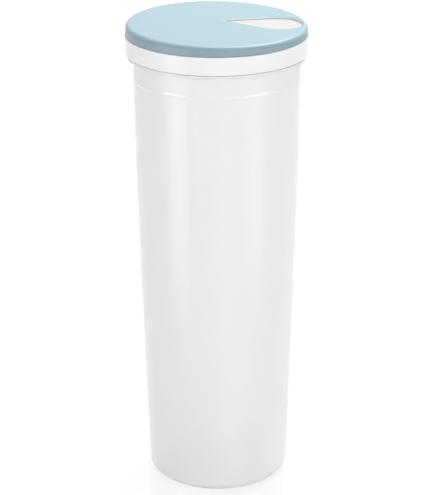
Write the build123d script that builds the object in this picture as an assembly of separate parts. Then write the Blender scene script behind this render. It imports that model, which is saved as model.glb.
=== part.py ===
from build123d import *
import math
import os

# Pasta storage container: a tall tapered tub of frosted plastic with a rib and a flange round
# its neck, a push-on cap with a seal and a drop-shaped pouring hole, and a dial on the cap that
# turns its own drop-shaped window over the hole. Millimetres, degrees, +Z up, origin at the
# centre of the foot, on the table.

# Tub
rim_height = 275.3
base_radius = 42.7
taper_top_radius = 50.0
neck_step = 0.05
neck_length = 22.35
tub_wall = 1.4
tub_floor = 1.8
base_rounding = 6.0
foot_width = 3.4
foot_height = 0.8
rim_rounding = 0.4
rim_bead_height = 0.3
rim_bead_drop = 2.6
bead_length = 1.3
flange_set_back = 0.6
flange_height = 1.85
flange_rounding = 0.3
rib_height = 0.15
rib_slope = 0.8
rib_crest = 0.3
rib_rounding = 0.6

# Cap
snap_gap = 0.3
cap_bead_height = 0.75
cap_bead_lift = 1.4
skirt_wall = 2.3
skirt_length = 10.6
skirt_foot_gap = 0.4
skirt_foot_rounding = 0.35
shoulder_thickness = 1.7
shoulder_rounding = 0.5
cap_plate = 1.5
drum_wall = 1.6
plug_gap = 0.3
plug_wall = 1.3
plug_depth = 4.4
plug_lead_in = 0.5
hub_wall = 2.1
hub_length = 3.4
pour_hole_margin = 0.7
hole_edge_rounding = 0.4

# Seal
seal_thickness = 1.6
seal_tongue = 2.1
seal_gap = 0.15
seal_skirt_gap = 0.3
seal_rounding = 0.25

# Dial, whose top falls towards one side and whose underside is crowned like the drum
dial_set_back = 0.5
dial_rim_height = 5.85
dial_top_fall = 1.1
dial_fall_heading = -24.0
dial_plate = 0.9
dial_wall = 1.6
dial_rounding = 2.8
dial_gap = 0.3
dial_seat_gap = 0.15
dial_lift = 0.2
stem_radius = 3.6
stem_fit = 0.08
stem_catch = 0.7
stem_catch_length = 2.2
stem_end_gap = 0.3
stem_slot = 1.0

# Window in the dial, a drop: a round end near the rim, drawn out to a tip by the hub
window_end_radius = 14.3
window_rim_margin = 3.2
window_end_angle = 3.4
window_tip_margin = 1.8
window_tip_angle = 73.8
window_tip_rounding = 0.5
window_edge_rounding = 0.6

# Radii that follow
neck_radius = taper_top_radius + neck_step
neck_bore_radius = neck_radius - tub_wall
rim_bead_radius = neck_radius + rim_bead_height
cap_bead_radius = rim_bead_radius + snap_gap
skirt_bore_radius = cap_bead_radius + cap_bead_height
lid_radius = skirt_bore_radius + skirt_wall
flange_radius = lid_radius - flange_set_back
rib_radius = neck_radius + rib_height
dial_radius = lid_radius - dial_set_back
dial_bore_radius = dial_radius - dial_wall
drum_radius = dial_bore_radius - dial_gap
drum_bore_radius = drum_radius - drum_wall
plug_radius = neck_bore_radius - plug_gap
plug_bore_radius = plug_radius - plug_wall
hub_bore_radius = stem_radius + stem_fit
hub_radius = hub_bore_radius + hub_wall
dial_bore_rounding = dial_rounding - dial_wall
drum_rounding = dial_bore_rounding - dial_gap
tub_bore_rounding = base_rounding - tub_wall

# Heights that follow; the dial's and the drum's are taken on the axis
neck_base = rim_height - neck_length
floor_top = foot_height + tub_floor
shoulder_base = rim_height + seal_thickness
shoulder_top = shoulder_base + shoulder_thickness
skirt_base = shoulder_top - skirt_length
flange_top = skirt_base - skirt_foot_gap
flange_base = flange_top - flange_height
dial_base = shoulder_top + dial_seat_gap
dial_top = dial_base + dial_rim_height
top_fall = math.radians(dial_top_fall)
dial_ceiling = dial_top - dial_plate / math.cos(top_fall)
drum_top = dial_ceiling - dial_lift
drum_ceiling = drum_top - cap_plate
hub_base = drum_ceiling - hub_length
plug_base = rim_height - plug_depth


def turned(corners):
    """Turns a section, given as (radius, height, corner rounding), about Z."""
    with BuildPart() as part:
        with BuildSketch(Plane.XZ) as section:
            with BuildLine():
                Polyline([(radius, height) for radius, height, _ in corners], close=True)
            make_face()
            for radius, height, rounding in corners:
                if rounding > 0:
                    corner = section.vertices().sort_by_distance((radius, height))[0]
                    fillet(corner, rounding)
        revolve(axis=Axis.Z)
    return part.part


def bead(root_radius, crest_radius, base):
    """Four corners, from the bottom up, of a bead with a flat crest and sloping sides."""
    ramp = abs(crest_radius - root_radius)
    return [
        (root_radius, base, 0),
        (crest_radius, base + ramp, 0),
        (crest_radius, base + ramp + bead_length, 0),
        (root_radius, base + 2 * ramp + bead_length, 0),
    ]


def crowned(height, radius):
    """The height at a radius of a crown that falls outwards as steeply as the dial's top does."""
    return height - radius * math.tan(top_fall)


def drop(inset):
    """The window's outline, drawn in on every side by inset."""
    end_radius = dial_radius - window_rim_margin - window_end_radius
    end_centre = Vector(end_radius, 0).rotate(Axis.Z, window_end_angle)
    tip = Vector(hub_radius + window_tip_margin, 0).rotate(Axis.Z, window_tip_angle)
    span = end_centre - tip
    half_angle = math.asin(window_end_radius / span.length)
    along = span.normalized()
    across = along.rotate(Axis.Z, 90)
    radius = window_end_radius - inset
    point = tip + along * (inset / math.sin(half_angle))
    back = along * (-radius * math.sin(half_angle))
    side = across * (radius * math.cos(half_angle))
    with BuildSketch() as outline:
        with BuildLine():
            Line(point, end_centre + back + side)
            ThreePointArc(end_centre + back + side, end_centre + along * radius, end_centre + back - side)
            Line(end_centre + back - side, point)
        make_face()
        fillet(outline.vertices().sort_by_distance(point)[0], window_tip_rounding)
    return outline.sketch


def top_rim(part, kind):
    """The edges round the hole in a part's highest face of a kind."""
    face = part.faces().filter_by(kind).sort_by(Axis.Z)[-1]
    holes = face.inner_wires()
    return max(holes, key=lambda wire: wire.length).edges()


def make_tub():
    foot_radius = base_radius - base_rounding
    wall_lean = (taper_top_radius - base_radius) / neck_base
    bore_base_radius = base_radius - tub_wall + wall_lean * floor_top
    rim_bead_base = rim_height - rim_bead_drop - bead_length
    rib_base = neck_base + rib_slope
    rib_top = rib_base + rib_crest
    return turned(
        [
            (0, foot_height, 0),
            (foot_radius - foot_width - foot_height, foot_height, 0),
            (foot_radius - foot_width, 0, 0),
            (base_radius, 0, base_rounding),
            (taper_top_radius, neck_base, 0),
            (rib_radius, rib_base, rib_rounding),
            (rib_radius, rib_top, rib_rounding),
            (neck_radius, rib_top + rib_slope, 0),
            (neck_radius, flange_base, 0),
            (flange_radius, flange_base, flange_rounding),
            (flange_radius, flange_top, flange_rounding),
            (neck_radius, flange_top, 0),
            *bead(neck_radius, rim_bead_radius, rim_bead_base),
            (neck_radius, rim_height, rim_rounding),
            (neck_bore_radius, rim_height, rim_rounding),
            (neck_bore_radius, neck_base + neck_step, 0),
            (taper_top_radius - tub_wall, neck_base, 0),
            (bore_base_radius, floor_top, tub_bore_rounding),
            (0, floor_top, 0),
        ]
    )


def make_seal():
    tongue_radius = drum_bore_radius - seal_gap
    bore_radius = plug_radius + seal_gap
    flange_radius = skirt_bore_radius - seal_skirt_gap
    return turned(
        [
            (bore_radius, rim_height, seal_rounding),
            (flange_radius, rim_height, seal_rounding),
            (flange_radius, shoulder_base, seal_rounding),
            (tongue_radius, shoulder_base, 0),
            (tongue_radius, shoulder_base + seal_tongue, seal_rounding),
            (bore_radius, shoulder_base + seal_tongue, seal_rounding),
        ]
    )


def make_cap():
    cap = turned(
        [
            (hub_bore_radius, crowned(drum_top, hub_bore_radius), 0),
            (drum_radius, crowned(drum_top, drum_radius), drum_rounding),
            (drum_radius, shoulder_top, 0),
            (lid_radius, shoulder_top, shoulder_rounding),
            (lid_radius, skirt_base, skirt_foot_rounding),
            (skirt_bore_radius, skirt_base, 0),
            *bead(skirt_bore_radius, cap_bead_radius, skirt_base + cap_bead_lift),
            (skirt_bore_radius, shoulder_base, 0),
            (drum_bore_radius, shoulder_base, 0),
            (drum_bore_radius, crowned(drum_ceiling, drum_bore_radius), 0),
            (plug_radius, crowned(drum_ceiling, plug_radius), 0),
            (plug_radius, plug_base, plug_lead_in),
            (plug_bore_radius, plug_base, plug_lead_in),
            (plug_bore_radius, crowned(drum_ceiling, plug_bore_radius), 0),
            (hub_radius, crowned(drum_ceiling, hub_radius), 0),
            (hub_radius, hub_base, 0),
            (hub_bore_radius, hub_base, 0),
        ]
    )
    inset = dial_radius - window_rim_margin - plug_bore_radius + pour_hole_margin
    hole_base = crowned(drum_ceiling, drum_radius)
    hole = Pos(0, 0, hole_base) * Rot(0, 0, 180) * extrude(drop(inset), drum_top - hole_base)
    cap -= hole
    return fillet(top_rim(cap, GeomType.CONE), hole_edge_rounding)


def sloped_blank(radius, base, top, rounding):
    """A round blank with the dial's sloping top, rounded at its edge."""
    blank = Pos(0, 0, base) * Cylinder(
        radius, 2 * (top - base), align=(Align.CENTER, Align.CENTER, Align.MIN)
    )
    steepest = Vector(math.sin(top_fall), 0, math.cos(top_fall))
    slope = Plane(origin=(0, 0, top), z_dir=steepest.rotate(Axis.Z, dial_fall_heading))
    blank = split(blank, bisect_by=slope, keep=Keep.BOTTOM)
    return fillet(blank.edges().sort_by(Axis.Z)[-1], rounding)


def make_stem():
    catch_top = hub_base - stem_end_gap
    catch_radius = stem_radius + stem_catch
    catch_base = catch_top - stem_catch_length
    root = dial_top - dial_plate / 2
    stem = turned(
        [
            (0, root, 0),
            (stem_radius, root, 0),
            (stem_radius, catch_top, 0),
            (catch_radius, catch_top - stem_catch / 2, 0),
            (stem_radius - stem_catch, catch_base, 0),
            (0, catch_base, 0),
        ]
    )
    slot_height = drum_ceiling - catch_base
    slot = Pos(0, 0, catch_base + slot_height / 2) * Box(2 * catch_radius, stem_slot, slot_height)
    return stem - slot - Rot(0, 0, 90) * slot


def make_dial():
    dial = sloped_blank(dial_radius, dial_base, dial_top, dial_rounding)
    dial -= turned(
        [
            (0, dial_base, 0),
            (dial_bore_radius, dial_base, 0),
            (dial_bore_radius, crowned(dial_ceiling, dial_bore_radius), dial_bore_rounding),
            (0, dial_ceiling, 0),
        ]
    )
    dial -= Pos(0, 0, dial_base) * extrude(drop(0), 2 * dial_rim_height)
    dial = fillet(top_rim(dial, GeomType.PLANE), window_edge_rounding)
    return dial + make_stem()


os.makedirs("parts", exist_ok=True)
export_step(make_tub(), "parts/container_tub.step")
export_step(make_cap(), "parts/lid_cap.step")
export_step(make_seal(), "parts/lid_seal.step")
export_step(make_dial(), "parts/lid_dial.step")
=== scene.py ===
import math

import bpy
from mathutils import Euler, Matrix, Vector

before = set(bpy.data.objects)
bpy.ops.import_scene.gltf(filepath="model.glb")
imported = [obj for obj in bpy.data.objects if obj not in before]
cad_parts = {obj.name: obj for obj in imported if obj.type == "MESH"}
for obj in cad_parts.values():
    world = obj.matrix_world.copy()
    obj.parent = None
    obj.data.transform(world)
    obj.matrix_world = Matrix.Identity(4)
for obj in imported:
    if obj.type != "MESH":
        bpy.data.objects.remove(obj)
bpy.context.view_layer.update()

# Camera, as in the photograph: pixels, millimetres, metres and degrees
PHOTO_HEIGHT = 495
FOCAL_PIXELS = 1852.5
SENSOR = 36.0
CAMERA_PLACE = (0.0, -1.0463, 0.5566)
CAMERA_PITCH = -21.49
CAMERA_ROLL = -0.2

# Floor: its side in metres, its grey, the shares of its shaders, and how brightly it shows
# near the object and far from it, between two radii in metres
FLOOR_SIZE = 60.0
FLOOR_GREY = 0.86
FLOOR_SHADOW_SHARE = 0.12
FLOOR_GLOSS_SHARE = 0.22
FLOOR_GLOSS_ROUGHNESS = 0.12
FLOOR_NEAR_GLOW = 1.05
FLOOR_FAR_GLOW = 1.14
FLOOR_GLOW_REACH = (0.3, 1.2)

# World: its strength as light on the object, and where it is seen
WORLD_LIGHT = 0.4
WORLD_SEEN = 1.0

# Lamps: name, place and target in metres, width and height in metres, power in watts
LID_TOP = (0.0, 0.0, 0.28)
TUB_MIDDLE = (0.0, 0.0, 0.15)
SIDE_TARGET = (0.0, 0.0, 0.22)
LAMPS = (
    ("back_box", (0.35, 0.75, 1.35), LID_TOP, 0.7, 0.7, 14.0),
    ("front_box", (0.52, -1.32, 0.68), TUB_MIDDLE, 0.9, 1.1, 5.7),
    ("left_box", (-0.87, -0.60, 0.22), SIDE_TARGET, 0.5, 0.30, 3.7),
    ("right_box", (0.87, -0.60, 0.22), SIDE_TARGET, 0.5, 0.24, 2.7),
    ("rear_box", (0.0, 1.30, 0.13), TUB_MIDDLE, 1.6, 0.22, 1.6),
)

# Noise: the part of its range that it mostly fills, and the sizes of its lumps in metres
NOISE_SPAN = (0.3, 0.7)
MICRO_GRAIN = 0.00035
SOFT_RIPPLE = 0.012

# Dial: the face colours between which it drifts, the darker colours of painted shade on its rounded
# outer edge, and the radii in metres between which the colour goes over that edge from the face to
# the painted shade
DIAL_FACE = ((0.424, 0.611, 0.682), (0.434, 0.621, 0.692))
# Painted shade: darker copies of the face colour for the rounded outer edge
DIAL_RIM_SHADE = ((0.237, 0.335, 0.372), (0.247, 0.345, 0.382))
DIAL_SHADE_BLEND = (0.0513, 0.05315)
DIAL_ROUGHNESS = (0.36, 0.42)
DIAL_RIPPLE_DEPTH = 0.00003
DIAL_GRAIN_DEPTH = 0.000006

# The dial's window: the near-white colour of its cut wall, a painted highlight standing in for
# light on that wall, the radius in metres inside which it lies and over which it fades, and how far
# a surface's normal rises where it counts as wall and as face
WINDOW_WALL_HIGHLIGHT = (0.93, 0.98, 0.99)
WINDOW_REACH = 0.0503
WINDOW_FADE = 0.0002
WALL_RISE = 0.3
FACE_RISE = 0.95

# Cap
CAP_WHITE = ((0.790, 0.790, 0.785), (0.805, 0.805, 0.800))
CAP_ROUGHNESS = (0.30, 0.36)
CAP_RIPPLE_DEPTH = 0.00005
CAP_RIPPLE_STRETCH = (1.0, 1.0, 4.0)
CAP_GRAIN_DEPTH = 0.000005

# Size in metres of the patches in which the dial and the cap drift in colour, and in gloss
SHELL_CLOUD = 0.03
SHELL_GLOSS_PATCH = 0.006

# Tub: its noise is drawn out along its height, as the plastic is in the mould
TUB_FROST = ((0.994, 0.995, 0.995), (0.998, 0.999, 0.999))
TUB_CLOUD = 0.05
TUB_CLOUD_STRETCH = (1.0, 1.0, 0.3)
TUB_ROUGHNESS = (0.15, 0.19)
TUB_GLOSS_PATCH = 0.008
TUB_DRAW_DEPTH = 0.00012
TUB_DRAW_STRETCH = (1.0, 1.0, 0.08)
TUB_GRAIN_DEPTH = 0.000006

# Seal
SEAL_MILK = ((0.80, 0.81, 0.81), (0.84, 0.85, 0.85))
SEAL_CLOUD = 0.01
SEAL_ROUGHNESS = (0.5, 0.62)
SEAL_GLOSS_PATCH = 0.003
SEAL_GRAIN_DEPTH = 0.00001


def node(tree, kind, place, **settings):
    """A node of one kind, with its properties and, by socket name, its input values."""
    made = tree.nodes.new(kind)
    made.location = place
    for name, value in settings.items():
        if hasattr(made, name):
            setattr(made, name, value)
        else:
            made.inputs[name.replace("_", " ")].default_value = value
    return made


def surface(name, sockets):
    """A material with one Principled shader, whose own sockets hold the values given."""
    material = bpy.data.materials.new(name)
    material.use_nodes = True
    shader = material.node_tree.nodes["Principled BSDF"]
    for socket, value in sockets.items():
        shader.inputs[socket].default_value = value
    return material, shader


def noise(tree, period, stretch=(1.0, 1.0, 1.0)):
    """Noise in object coordinates whose lumps are about one period across."""
    coordinates = node(tree, "ShaderNodeTexCoord", (-1400, 0))
    mapping = node(tree, "ShaderNodeMapping", (-1200, 0), Scale=stretch)
    texture = node(tree, "ShaderNodeTexNoise", (-1000, 0), Scale=1.0 / period, Detail=2.0)
    tree.links.new(coordinates.outputs["Object"], mapping.inputs["Vector"])
    tree.links.new(mapping.outputs["Vector"], texture.inputs["Vector"])
    return texture.outputs["Fac"]


def spread(tree, value, start, end, low=0.0, high=1.0):
    """Goes from low to high, and no further, as a value goes from start to end."""
    made = node(
        tree, "ShaderNodeMapRange", (-700, 0), From_Min=start, From_Max=end, To_Min=low, To_Max=high
    )
    tree.links.new(value, made.inputs["Value"])
    return made.outputs["Result"]


def patches(tree, period, low=0.0, high=1.0, stretch=(1.0, 1.0, 1.0)):
    """A value that drifts between low and high in patches about one period across."""
    return spread(tree, noise(tree, period, stretch), *NOISE_SPAN, low, high)


def colour_between(tree, value, low, high):
    """A colour that goes from low to high with a value; each is a colour or an output."""
    mix = node(tree, "ShaderNodeMix", (-500, 200), data_type="RGBA")
    for socket, colour in ((mix.inputs[6], low), (mix.inputs[7], high)):
        if isinstance(colour, tuple):
            socket.default_value = (*colour, 1.0)
        else:
            tree.links.new(colour, socket)
    tree.links.new(value, mix.inputs[0])
    return mix.outputs[2]


def outwards(tree, inner, outer, low=0.0, high=1.0):
    """Goes from low at one radius from the object's axis to high at another, in metres."""
    coordinates = node(tree, "ShaderNodeTexCoord", (-1600, 500))
    level = node(tree, "ShaderNodeVectorMath", (-1400, 500), operation="MULTIPLY")
    level.inputs[1].default_value = (1.0, 1.0, 0.0)
    radius = node(tree, "ShaderNodeVectorMath", (-1200, 500), operation="LENGTH")
    tree.links.new(coordinates.outputs["Object"], level.inputs[0])
    tree.links.new(level.outputs["Vector"], radius.inputs[0])
    return spread(tree, radius.outputs["Value"], inner, outer, low, high)


def steepness(tree, steep, level):
    """One where the object's own normal rises by steep or less, zero where by level or more."""
    coordinates = node(tree, "ShaderNodeTexCoord", (-1600, 900))
    parts = node(tree, "ShaderNodeSeparateXYZ", (-1400, 900))
    tree.links.new(coordinates.outputs["Normal"], parts.inputs["Vector"])
    return spread(tree, parts.outputs["Z"], level, steep)


def within(tree, value, radius, fade):
    """A value inside a radius from the object's axis, fading to zero just before it."""
    inside = node(tree, "ShaderNodeMath", (-500, 700), operation="SUBTRACT", use_clamp=True)
    tree.links.new(value, inside.inputs[0])
    tree.links.new(outwards(tree, radius - fade, radius), inside.inputs[1])
    return inside.outputs[0]


def bumps(tree, shader, layers):
    """Chains bump layers, each (height output, depth in metres), onto the shader's normal."""
    normal = None
    for height, depth in layers:
        bump = node(tree, "ShaderNodeBump", (-300, -300), Distance=depth, Strength=1.0)
        tree.links.new(height, bump.inputs["Height"])
        if normal:
            tree.links.new(normal, bump.inputs["Normal"])
        normal = bump.outputs["Normal"]
    tree.links.new(normal, shader.inputs["Normal"])


def dial_plastic():
    """Pale blue moulded plastic with a satin face; its rounded outer edge is darkened with painted
    shade and the cut wall of its window lightened with a painted highlight.
    """
    material, shader = surface(
        "dial_plastic",
        {"Specular IOR Level": 0.3, "Coat Weight": 0.1, "Coat Roughness": 0.3, "IOR": 1.49},
    )
    tree = material.node_tree
    cloud = patches(tree, SHELL_CLOUD)
    face = colour_between(tree, cloud, *DIAL_FACE)
    # Painted shade: a darker copy of the face colour for the rounded outer edge
    rim_shade = colour_between(tree, cloud, *DIAL_RIM_SHADE)
    # Painted highlight: the window's cut wall is lightened to a near-white blue
    wall_highlight = within(tree, steepness(tree, WALL_RISE, FACE_RISE), WINDOW_REACH, WINDOW_FADE)
    face = colour_between(tree, wall_highlight, face, WINDOW_WALL_HIGHLIGHT)
    # The painted shade takes over from the face colour across the rounded outer edge
    tint = colour_between(tree, outwards(tree, *DIAL_SHADE_BLEND), face, rim_shade)
    tree.links.new(tint, shader.inputs["Base Color"])
    tree.links.new(patches(tree, SHELL_GLOSS_PATCH, *DIAL_ROUGHNESS), shader.inputs["Roughness"])
    ripple = noise(tree, SOFT_RIPPLE)
    grain = noise(tree, MICRO_GRAIN)
    bumps(tree, shader, [(ripple, DIAL_RIPPLE_DEPTH), (grain, DIAL_GRAIN_DEPTH)])
    return material


def cap_plastic():
    """Opaque white moulded plastic with a soft gloss."""
    material, shader = surface(
        "cap_plastic",
        {"Specular IOR Level": 0.35, "Coat Weight": 0.12, "Coat Roughness": 0.2, "IOR": 1.49},
    )
    tree = material.node_tree
    tint = colour_between(tree, patches(tree, SHELL_CLOUD), *CAP_WHITE)
    tree.links.new(tint, shader.inputs["Base Color"])
    tree.links.new(patches(tree, SHELL_GLOSS_PATCH, *CAP_ROUGHNESS), shader.inputs["Roughness"])
    ripple = noise(tree, SOFT_RIPPLE, CAP_RIPPLE_STRETCH)
    grain = noise(tree, MICRO_GRAIN)
    bumps(tree, shader, [(ripple, CAP_RIPPLE_DEPTH), (grain, CAP_GRAIN_DEPTH)])
    return material


def tub_plastic():
    """Frosted plastic that lets light through and blurs what is behind it."""
    material, shader = surface(
        "tub_plastic",
        {
            "Transmission Weight": 0.5,
            "IOR": 1.45,
            "Specular IOR Level": 0.4,
            "Coat Weight": 0.8,
            "Coat Roughness": 0.28,
        },
    )
    tree = material.node_tree
    cloud = patches(tree, TUB_CLOUD, stretch=TUB_CLOUD_STRETCH)
    tree.links.new(colour_between(tree, cloud, *TUB_FROST), shader.inputs["Base Color"])
    tree.links.new(patches(tree, TUB_GLOSS_PATCH, *TUB_ROUGHNESS), shader.inputs["Roughness"])
    draw = noise(tree, SOFT_RIPPLE, TUB_DRAW_STRETCH)
    grain = noise(tree, MICRO_GRAIN)
    bumps(tree, shader, [(draw, TUB_DRAW_DEPTH), (grain, TUB_GRAIN_DEPTH)])
    return material


def seal_rubber():
    """Milky silicone rubber."""
    material, shader = surface(
        "seal_rubber",
        {"Subsurface Weight": 0.3, "Subsurface Scale": 0.001, "IOR": 1.41},
    )
    tree = material.node_tree
    tint = colour_between(tree, patches(tree, SEAL_CLOUD), *SEAL_MILK)
    tree.links.new(tint, shader.inputs["Base Color"])
    tree.links.new(patches(tree, SEAL_GLOSS_PATCH, *SEAL_ROUGHNESS), shader.inputs["Roughness"])
    bumps(tree, shader, [(noise(tree, MICRO_GRAIN), SEAL_GRAIN_DEPTH)])
    return material


def dress(name, material):
    """Gives a CAD node's object a material in all its slots."""
    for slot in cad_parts[name].material_slots:
        slot.material = material


def seen_straight(tree):
    """One for camera, glossy and transmission rays, else zero."""
    path = node(tree, "ShaderNodeLightPath", (-900, 300))
    total = path.outputs["Is Camera Ray"]
    for ray in ("Is Glossy Ray", "Is Transmission Ray"):
        add = node(tree, "ShaderNodeMath", (-700, 300), operation="ADD", use_clamp=True)
        tree.links.new(total, add.inputs[0])
        tree.links.new(path.outputs[ray], add.inputs[1])
        total = add.outputs[0]
    return total


def make_floor():
    """A pale floor that reads as white out to the horizon and keeps a faint shadow."""
    half = FLOOR_SIZE / 2
    mesh = bpy.data.meshes.new("floor")
    corners = [(-half, -half, 0), (half, -half, 0), (half, half, 0), (-half, half, 0)]
    mesh.from_pydata(corners, [], [(0, 1, 2, 3)])
    floor = bpy.data.objects.new("floor", mesh)
    bpy.context.scene.collection.objects.link(floor)
    material, shader = surface("floor_white", {"Roughness": 1.0, "Specular IOR Level": 0.0})
    tree = material.node_tree
    shader.inputs["Base Color"].default_value = (FLOOR_GREY, FLOOR_GREY, FLOOR_GREY, 1.0)
    glow = node(tree, "ShaderNodeEmission", (0, -300))
    strength = outwards(tree, *FLOOR_GLOW_REACH, FLOOR_NEAR_GLOW, FLOOR_FAR_GLOW)
    tree.links.new(strength, glow.inputs["Strength"])
    gloss = node(tree, "ShaderNodeBsdfGlossy", (0, -500), Roughness=FLOOR_GLOSS_ROUGHNESS)
    gloss.inputs["Color"].default_value = (1.0, 1.0, 1.0, 1.0)
    shine = node(tree, "ShaderNodeMixShader", (200, -300))
    shine.inputs[0].default_value = FLOOR_GLOSS_SHARE
    share = node(tree, "ShaderNodeMath", (0, 300), operation="MULTIPLY")
    share.inputs[1].default_value = 1.0 - FLOOR_SHADOW_SHARE
    mix = node(tree, "ShaderNodeMixShader", (400, 0))
    tree.links.new(glow.outputs[0], shine.inputs[1])
    tree.links.new(gloss.outputs[0], shine.inputs[2])
    tree.links.new(seen_straight(tree), share.inputs[0])
    tree.links.new(share.outputs[0], mix.inputs[0])
    tree.links.new(shader.outputs[0], mix.inputs[1])
    tree.links.new(shine.outputs[0], mix.inputs[2])
    tree.links.new(mix.outputs[0], tree.nodes["Material Output"].inputs["Surface"])
    mesh.materials.append(material)


def make_world():
    """White where it is seen, and a plain soft light on the object."""
    world = bpy.data.worlds.new("studio")
    world.use_nodes = True
    bpy.context.scene.world = world
    tree = world.node_tree
    tree.nodes.clear()
    soft = node(tree, "ShaderNodeBackground", (-200, -100), Strength=WORLD_LIGHT)
    white = node(tree, "ShaderNodeBackground", (-200, 100), Strength=WORLD_SEEN)
    soft.inputs["Color"].default_value = (1.0, 1.0, 1.0, 1.0)
    white.inputs["Color"].default_value = (1.0, 1.0, 1.0, 1.0)
    mix = node(tree, "ShaderNodeMixShader", (0, 0))
    out = node(tree, "ShaderNodeOutputWorld", (200, 0))
    tree.links.new(seen_straight(tree), mix.inputs[0])
    tree.links.new(soft.outputs[0], mix.inputs[1])
    tree.links.new(white.outputs[0], mix.inputs[2])
    tree.links.new(mix.outputs[0], out.inputs["Surface"])


def softbox(name, place, target, width, height, watts):
    """A rectangular lamp that faces a target."""
    data = bpy.data.lights.new(name, "AREA")
    data.shape = "RECTANGLE"
    data.size = width
    data.size_y = height
    data.energy = watts
    lamp = bpy.data.objects.new(name, data)
    bpy.context.scene.collection.objects.link(lamp)
    lamp.location = place
    lamp.rotation_euler = (Vector(target) - Vector(place)).to_track_quat("-Z", "Y").to_euler()


def make_lights():
    for lamp in LAMPS:
        softbox(*lamp)


def make_camera():
    data = bpy.data.cameras.new("camera")
    data.sensor_width = SENSOR
    data.lens = FOCAL_PIXELS / PHOTO_HEIGHT * SENSOR
    camera = bpy.data.objects.new("camera", data)
    bpy.context.scene.collection.objects.link(camera)
    camera.location = CAMERA_PLACE
    level = Euler((math.radians(90 + CAMERA_PITCH), 0.0, 0.0)).to_matrix()
    roll = Euler((0.0, 0.0, math.radians(CAMERA_ROLL))).to_matrix()
    camera.rotation_euler = (level @ roll).to_euler()
    bpy.context.scene.camera = camera


make_camera()
make_world()
make_floor()
make_lights()
dress("container_tub", tub_plastic())
dress("lid_cap", cap_plastic())
dress("lid_dial", dial_plastic())
dress("lid_seal", seal_rubber())
bpy.context.scene.view_settings.view_transform = "Standard"
